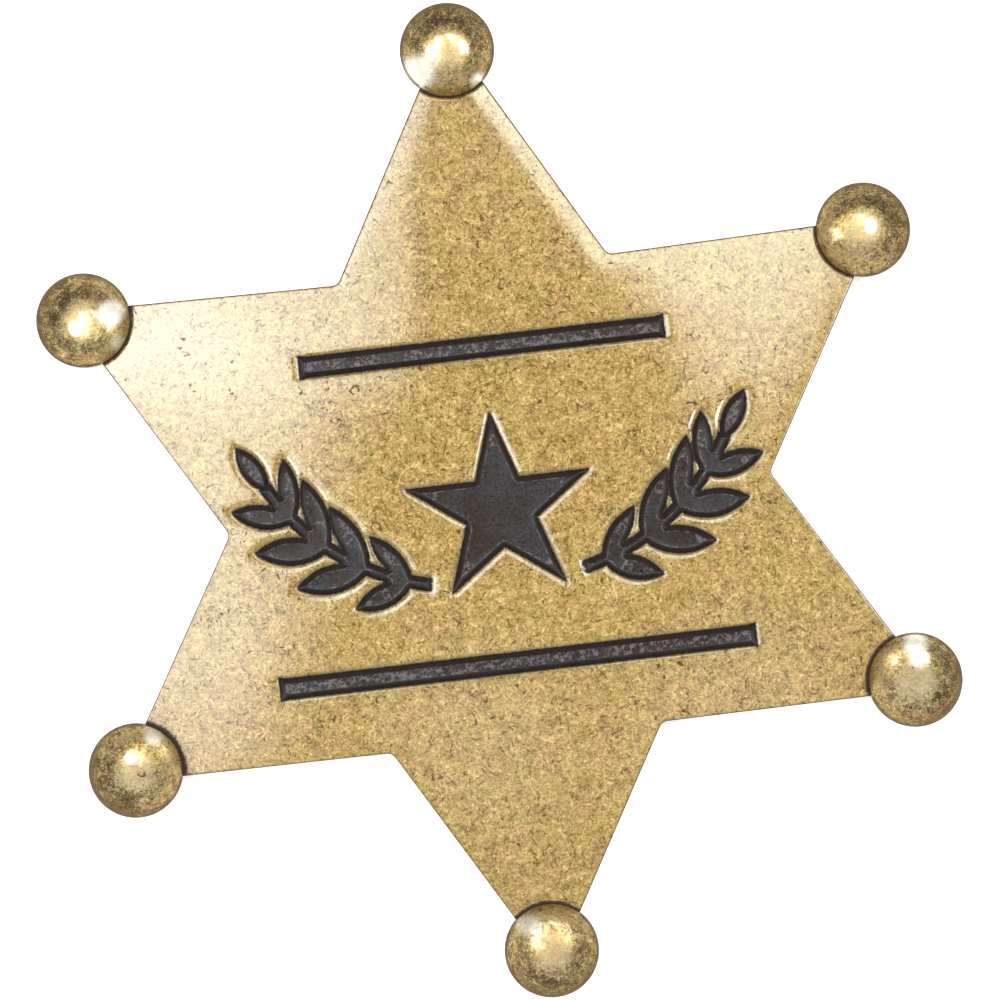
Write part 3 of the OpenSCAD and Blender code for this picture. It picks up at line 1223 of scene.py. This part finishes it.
def brass_grain(place, fine):
    """Grain of the antiqued brass from 0 to 1: specks, short strokes, dark nicks and soft clouds."""
    light = strokes(place, *LIGHT_STROKES)
    dark = strokes(place, *DARK_STROKES) * spread(noise(place, **CLOUDS), *STROKES_THIN)
    waves, medium = noise(place, **WAVES), noise(place, **MEDIUM)
    grain = mixed(0.5, (waves, GRAIN_WAVES), (fine, GRAIN_FINE), (medium, GRAIN_MEDIUM))
    grain = grain + light * LIGHT_STRENGTH - dark * DARK_STRENGTH
    grain = grain + hairlines(place, *LIGHT_LINES) * LIGHT_LINE_STRENGTH
    grain = grain - hairlines(place, *DARK_LINES) * DARK_LINE_STRENGTH
    return grain.clamped()


def leaning_normal(tree):
    """Normal of the surface, tipped by as much as the balls' lacquer leans."""
    plain = add(tree, "ShaderNodeNewGeometry", {}, "Normal")
    lean = {"X": attribute(tree, "lean_x"), "Y": attribute(tree, "lean_y")}
    tipped = vector_calc("ADD", plain, add(tree, "ShaderNodeCombineXYZ", lean))
    return vector_calc("NORMALIZE", tipped)


def ball_stain_and_shade(place, grain, mottle, rim, outer_zone):
    """Dark stain patches of a ball, also along its rim, and painted shade in a ring round its middle and on
    its outer side.
    """
    patchy = mixed(
        STAIN_BASE, (mottle, STAIN_MOTTLE), (noise(place, **SPECKS), STAIN_SPECKS), (grain, STAIN_GRAIN)
    )
    # Painted shade on each ball's outward side
    patchy = patchy + attribute(place.tree, "outer") * OUTER_SHADE
    # Painted shade in a dark ring round each ball's middle
    patchy = patchy + smooth(abs(rim - SHADE_RING), *SHADE_RING_W) * SHADE_RING_SHARE
    patchy = patchy + outer_zone * OUTER_ZONE_DARKENING
    return (patchy + smooth(rim, *RIM_STAIN)).clamped() * smooth(rim, *STAIN_FROM)


def plain_brass(place, grain, ball, rim, outer_zone):
    """Colour of the grain in two tones of gold, paler in the middle of a ball for polish and a painted
    highlight, and round it tarnished with painted sheen and a painted reflection.
    """
    second = spread(noise(place, **TONES), *SECOND_TONE_FROM)
    colour = blend(second, ramp(grain, grain_stops(GOLD)), ramp(grain, grain_stops(WARM_GOLD)))
    # Middle of each ball paler, for polish and a painted highlight
    colour = blend(ball * smooth(rim, *POLISH_AND_HIGHLIGHT_FROM) * POLISH_AND_HIGHLIGHT_SHARE, colour, in_metal(POLISH_AND_HIGHLIGHT))
    unlacquered = ball * outer_zone
    # Where a ball's lacquer is gone, the white that the lacquer would mirror is painted into the colour as
    # painted sheen
    colour = blend(unlacquered, colour, grey(SHINE / MIRRORED), "ADD")
    # Tarnish and painted floor reflection on the outer zone of a ball
    return blend(unlacquered * TARNISH_AND_REFLECTION_SHARE, colour, in_metal(TARNISH_AND_REFLECTION))


def patina(tree, fine):
    """Dark patina along edges, in recesses and in the hollows, with wear."""
    hollow = attribute(tree, "hollow") * HOLLOW_GRIME
    grime = most(attribute(tree, "edge"), attribute(tree, "recess"), hollow)
    return (grime * spread(fine, *GRIME_WEAR)).clamped()


def brass_material():
    made, tree, shader = material("antique brass", BRASS_INPUTS)
    place = millimetres(tree)
    ball, rim = attribute(tree, "ball"), attribute(tree, "rim")
    fine, mottle = noise(place, **FINE), noise(place, **MOTTLE)
    grain = brass_grain(place, fine)
    outer_zone = smooth(rim, *OUTER_ZONE_FROM)
    stain_and_shade = ball * ball_stain_and_shade(place, grain, mottle, rim, outer_zone)
    # Painted highlights on the balls, broken up by the fine noise
    painted_highlight_share = (attribute(tree, "gleam") * spread(fine, *PAINTED_HIGHLIGHT_BREAKUP)).clamped()
    pits = spread(noise(place, **PITTED), *PITS_FROM)
    grimy = patina(tree, fine)
    # Patina and painted shade in the crease where each ball meets the plate
    ragged = mixed(attribute(tree, "crease"), (fine, CREASE_FINE), (mottle, CREASE_MOTTLE))
    creased = smooth(ragged, *CREASE_FROM)

    colour = plain_brass(place, grain, ball, rim, outer_zone)
    # Over the brass: stain and painted shade on the balls, painted highlights, pits, patina, and the
    # creases' patina and painted shade
    layers = (stain_and_shade, BALL_STAIN_AND_SHADE), (painted_highlight_share, PAINTED_HIGHLIGHT_TONE), (pits, BALL_STAIN_AND_SHADE), (grimy, PATINA), (creased, CREASE_PATINA_AND_SHADE)
    for share, tone in layers:
        colour = blend(share, colour, in_metal(tone))
    matte = most(grimy * (1 - ball), creased) * PATINA_MATTE
    lost = spread(grain, *LACQUER_LOST)
    bare = most(grimy, creased, stain_and_shade, pits, ball * outer_zone, attribute(tree, "dull"), lost)
    uneven = bump(fine, *BRASS_BUMP, Normal=leaning_normal(tree))
    connect(tree, shader, {
        "Base Color": colour,
        "Metallic": 1 - matte,
        "Coat Weight": 1 - bare,
        "Roughness": spread(grain, *BRASS_ROUGH) - ball * BALL_SMOOTHER,
        "Normal": uneven,
        "Coat Normal": uneven,
    })
    return made


# Noises and screen colours of the black enamel
ENAMEL_CLOUD = dict(scale=0.35, detail=3, roughness=0.6)
ENAMEL_SPECK = dict(scale=4.0, roughness=0.9)
ENAMEL_FLECK = dict(scale=2.6, roughness=0.8, shift=13)
GREY_BED = (26, 24, 25), (53, 50, 51)
BROWN_BED = (22, 16, 13), (44, 33, 28)
# The steep walls are painted darker than the bed, as painted shade
SHADED_WALL_TONES = (12, 5, 4), (34, 21, 16)
RUST = (92, 52, 38)
# A pale line painted along the foot of the wall, as a painted highlight
HIGHLIGHT_LINE_TONE = (116, 112, 112)
# Where they start and are full, by the noise
BED_SPECKED, WALL_SPECKED = (0.35, 0.65), (0.4, 0.7)
BROWN_FROM = 0.44, 0.58
RUST_FLECKS, RUST_CLOUDS = (0.6, 0.7), (0.48, 0.6)
HIGHLIGHT_LINE_BREAKS = 0.48, 0.6, 0.0, 0.55
# Where the bed starts and is full, and the painted highlight line along the foot of its wall, in
# millimetres
BED_FROM = ENAMEL_WALL_W - 0.07, ENAMEL_WALL_W + 0.02
HIGHLIGHT_LINE_IN, HIGHLIGHT_LINE_W = ENAMEL_WALL_W + 0.04, (0.06, 0.0)
# Its gloss, and the strength and height of its bumps
ENAMEL_INPUTS = {"Metallic": 0.0, "Specular IOR Level": 0.24}
ENAMEL_ROUGH, BED_SMOOTHER = (0.3, 0.7, 0.3, 0.5), -0.05
ENAMEL_BUMP = 0.3, 0.02


def enamel_material():
    made, tree, shader = material("black enamel", ENAMEL_INPUTS)
    place = millimetres(tree)
    depth = attribute(tree, "depth")
    cloud = noise(place, **ENAMEL_CLOUD)
    speck = noise(place, **ENAMEL_SPECK)
    fleck = noise(place, **ENAMEL_FLECK)
    specked = spread(speck, *BED_SPECKED)
    bed = blend(spread(cloud, *BROWN_FROM), between(specked, GREY_BED), between(specked, BROWN_BED))
    rusty = spread(fleck, *RUST_FLECKS) * spread(cloud, *RUST_CLOUDS)
    bed = blend(rusty, bed, linear(RUST))
    on_bed = smooth(depth, *BED_FROM)
    # Painted shade on the walls, lighter bed on the floor
    colour = blend(on_bed, between(spread(speck, *WALL_SPECKED), SHADED_WALL_TONES), bed)
    # Painted highlight along the foot of the wall, broken up by noise
    line = smooth(abs(depth - HIGHLIGHT_LINE_IN), *HIGHLIGHT_LINE_W) * spread(fleck, *HIGHLIGHT_LINE_BREAKS)
    connect(tree, shader, {
        "Base Color": blend(line, colour, linear(HIGHLIGHT_LINE_TONE)),
        "Roughness": spread(speck, *ENAMEL_ROUGH) + on_bed * BED_SMOOTHER,
        "Normal": bump(speck, *ENAMEL_BUMP),
    })
    return made


# Plain satin brass of the pin
PIN_GRAIN = dict(scale=3.0, roughness=0.8)
PIN_TONES, PIN_TONED = ((170, 138, 84), (206, 176, 118)), (0.35, 0.65)
PIN_ROUGH, PIN_BUMP = (0.3, 0.7, 0.45, 0.3), (0.2, 0.01)


def pin_material():
    made, tree, shader = material("pin brass", {"Metallic": 1.0})
    grain = noise(millimetres(tree), **PIN_GRAIN)
    connect(tree, shader, {
        "Base Color": between(spread(grain, *PIN_TONED), PIN_TONES),
        "Roughness": spread(grain, *PIN_ROUGH),
        "Normal": bump(grain, *PIN_BUMP),
    })
    return made


# Floor: half its width, its plain settings, and its faint clouds
FLOOR_HALF = 6000
FLOOR_INPUTS = {"Roughness": 0.85, "Emission Color": (1, 1, 1, 1), "Emission Strength": 0.4}
FLOOR_CLOUDS = dict(scale=0.02, detail=2)
FLOOR_TONES = 0.88, 0.93


def floor_material():
    made, tree, shader = material("pale floor", FLOOR_INPUTS)
    dark, light = FLOOR_TONES
    tone = blend(noise(millimetres(tree), **FLOOR_CLOUDS), grey(dark), grey(light))
    connect(tree, shader, {"Base Color": tone})
    return made


def make_floor():
    mesh = bpy.data.meshes.new("floor")
    half = FLOOR_HALF * MM
    corners = [(-half, -half, 0), (half, -half, 0), (half, half, 0), (-half, half, 0)]
    mesh.from_pydata(corners, [], [(0, 1, 2, 3)])
    mesh.materials.append(floor_material())
    floor = in_scene("floor", mesh)


# Camera, as the photograph shows the badge: straight on, turned a little to the left
FRAME_W = 76.09
LENS, SENSOR = 600, 36
CAMERA_AWAY = FRAME_W * LENS / SENSOR
VIEW_Z = 2.0
BADGE_OFF = 0.046
CLIP_START, CLIP_END = 0.05, 30


def make_camera():
    data = bpy.data.cameras.new("camera")
    data.lens = LENS
    data.sensor_width = SENSOR
    data.clip_start, data.clip_end = CLIP_START, CLIP_END
    camera = in_scene("camera", data)
    camera.location = (BADGE_OFF * MM, 0, (VIEW_Z + CAMERA_AWAY) * MM)
    camera.rotation_euler = (0, 0, -TURN)
    bpy.context.scene.camera = camera


# Studio: how bright it is by angle from straight up, in shares of a half turn
SKY = ((0.0, 0.46), (0.05, 0.51), (0.11, 0.65), (0.25, 0.65), (0.36, 0.66), (0.5, 0.75))
# All else in the studio is given by where the crowned face mirrors it: to the right and up, in millimetres.
# A pair of places says where a thing starts and where it is full.
MIRROR_SCALE = 2 / (2 / CROWN_R + 1 / CAMERA_AWAY)
LEAST_HEIGHT = 0.01
LOW_SKY, LOW_SKY_FROM = 0.45, (-25, -80)

# Softboxes: their levels by height, from the lowest to the highest place in SPAN
SPAN = 60
LEFT_LEVELS = (
    (-34, 0.0), (-24, 1.3), (-19, 1.8), (-14, 2.55), (-9, 2.8), (-4, 2.6), (1, 3.05), (4.4, 3.25), (7, 4.1),
    (10, 5.0), (13, 4.9), (17, 4.4), (34, 4.3),
)
RIGHT_LEVELS = (
    (-6, 0.1), (3, 0.2), (6, 0.5), (8.2, 1.3), (10.5, 2.3), (12.6, 2.7), (15, 3.0), (17.2, 3.5), (20, 3.7),
    (24, 3.6), (29, 3.8), (34, 4.6), (38, 6.0),
)
LEFT_COLOUR, RIGHT_COLOUR = (0.98, 0.98, 0.96, 1), (1.0, 0.97, 0.87, 1)

# Left softbox: its upright side above, its slanting side below, how it grows brighter outward, its brighter
# corner and its ends
LEFT_HIGH_FROM = 5, 12
LEFT_SIDE, LEFT_SIDE_RISE = (-6.2, -7.8), (-7, -13, 0.8, 1.0)
LEFT_LOW_SIDE, LEFT_LOW_SLANT = (-9.0, -18.5), -0.2
LEFT_RISE = -9, -24, 0.62, 1.06
LEFT_CORNER_X, LEFT_CORNER_Y, LEFT_CORNER_SHARE = (-18, -27), (8, 14), 0.22
LEFT_END, LEFT_TOP = (-40, -29), (46, 32)

# Right softbox: its slanting and upright sides, its outer side and its end. A slanting side has its
# direction, how far it lies from the middle, and its width.
RIGHT_SLANT = math.radians(35), 18.4, (-2.4, 2.4)
RIGHT_UPRIGHT_X, RIGHT_UPRIGHT_Y = (13.2, 15.4), (12, 10)
RIGHT_OUTER = math.radians(-20), 19.2, (5, -5)
RIGHT_TOP = 48, 38

# Lamps behind the softboxes and faint glows low in the studio, by place, reach, share of the reach that is
# full, and level. The lamps fade in toward the sides, so that the plate mirrors little of them.
LAMPS = ((-46, -4, 25, 0.6, 7.0), (46, 11, 25, 0.6, 8.0))
LAMPS_FROM = 29, 35
FAINT_GLOWS = ((-2, -17, 12, 0.15, 0.5), (18, -17, 13, 0.15, 0.45))


def mirror_place(tree):
    """Where the face mirrors each direction of the studio, and how steeply the direction rises."""
    direction = rotated(add(tree, "ShaderNodeTexCoord", {}, "Generated"), TURN)
    outputs = add(tree, "ShaderNodeSeparateXYZ", {0: direction}).socket.node.outputs
    x, y, rise = (Field(tree, socket) for socket in outputs)
    scale = MIRROR_SCALE / most(rise + 1.0, LEAST_HEIGHT)
    return x * scale, y * scale, rise


def beyond_line(x, y, direction, distance, width):
    """Share from 0 to 1 across a straight side."""
    across_x, across_y = unit(direction)
    return smooth(x * across_x + y * across_y - distance, *width)


def level_by_height(y, levels):
    """Brightness of a softbox from a table of heights and levels."""
    highest = max(level for _, level in levels)
    stops = [((height + SPAN) / (2 * SPAN), grey(level / highest)) for height, level in levels]
    return ramp((y + SPAN) / (2 * SPAN), stops) * highest


def left_softbox(x, y):
    high = smooth(y, *LEFT_HIGH_FROM)
    high_side = smooth(x, *LEFT_SIDE) * smooth(x, *LEFT_SIDE_RISE)
    low_side = smooth(y * LEFT_LOW_SLANT + x, *LEFT_LOW_SIDE)
    side = high_side * high + low_side * (1 - high)
    across = smooth(x, *LEFT_RISE) * smooth(x, *LEFT_END)
    corner = smooth(x, *LEFT_CORNER_X) * smooth(y, *LEFT_CORNER_Y) * LEFT_CORNER_SHARE
    return side * across * (corner + 1.0) * smooth(y, *LEFT_TOP) * level_by_height(y, LEFT_LEVELS)


def right_softbox(x, y):
    upright = smooth(x, *RIGHT_UPRIGHT_X) * smooth(y, *RIGHT_UPRIGHT_Y)
    side = most(beyond_line(x, y, *RIGHT_SLANT), upright)
    outer = beyond_line(x, y, *RIGHT_OUTER) * smooth(y, *RIGHT_TOP)
    return side * outer * level_by_height(y, RIGHT_LEVELS)


def glow(x, y, middle_x, middle_y, reach, full, level):
    """A round light, brightest in its middle."""
    off_x, off_y = x - middle_x, y - middle_y
    away = calc(x.tree, "SQRT", off_x * off_x + off_y * off_y)
    return smooth(away, reach, full * reach, 0, level)


def make_studio():
    """World light: a plain sky, two softboxes, and the lamps and glows."""
    world = bpy.data.worlds.new("studio")
    world.use_nodes = True
    tree = world.node_tree
    x, y, rise = mirror_place(tree)
    angle = calc(tree, "ARCCOSINE", rise) / math.pi
    sky = ramp(angle, [(at, grey(level)) for at, level in SKY]) + smooth(y, *LOW_SKY_FROM, 0, LOW_SKY)
    left, right = left_softbox(x, y), right_softbox(x, y)
    total = sky + (left + right)
    lamps_shown = smooth(abs(x), *LAMPS_FROM)
    for lamp in LAMPS:
        total = total + glow(x, y, *lamp) * lamps_shown
    for faint in FAINT_GLOWS:
        total = total + glow(x, y, *faint)
    colour = blend(left / total, grey(1), LEFT_COLOUR)
    colour = blend(right / total, colour, RIGHT_COLOUR)
    connect(tree, tree.nodes["Background"], {"Strength": total, "Color": colour})
    bpy.context.scene.world = world


make_camera()

star_solid, face_points, sunk_triangles = make_star(*face_layout())
star = star_solid.build("badge_metal")
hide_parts("star")
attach(star, "root")
star.data.materials.append(brass_material())

black_enamel = enamel_material()
for name in ENAMELS:
    piece = make_enamel(name, face_points, sunk_triangles)
    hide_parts(name)
    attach(piece, "root")
    piece.data.materials.append(black_enamel)

pin_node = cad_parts["pin"]
pin_node.data.materials.clear()
pin_node.data.materials.append(pin_material())

make_floor()
make_studio()
bpy.context.scene.view_settings.view_transform = "Standard"
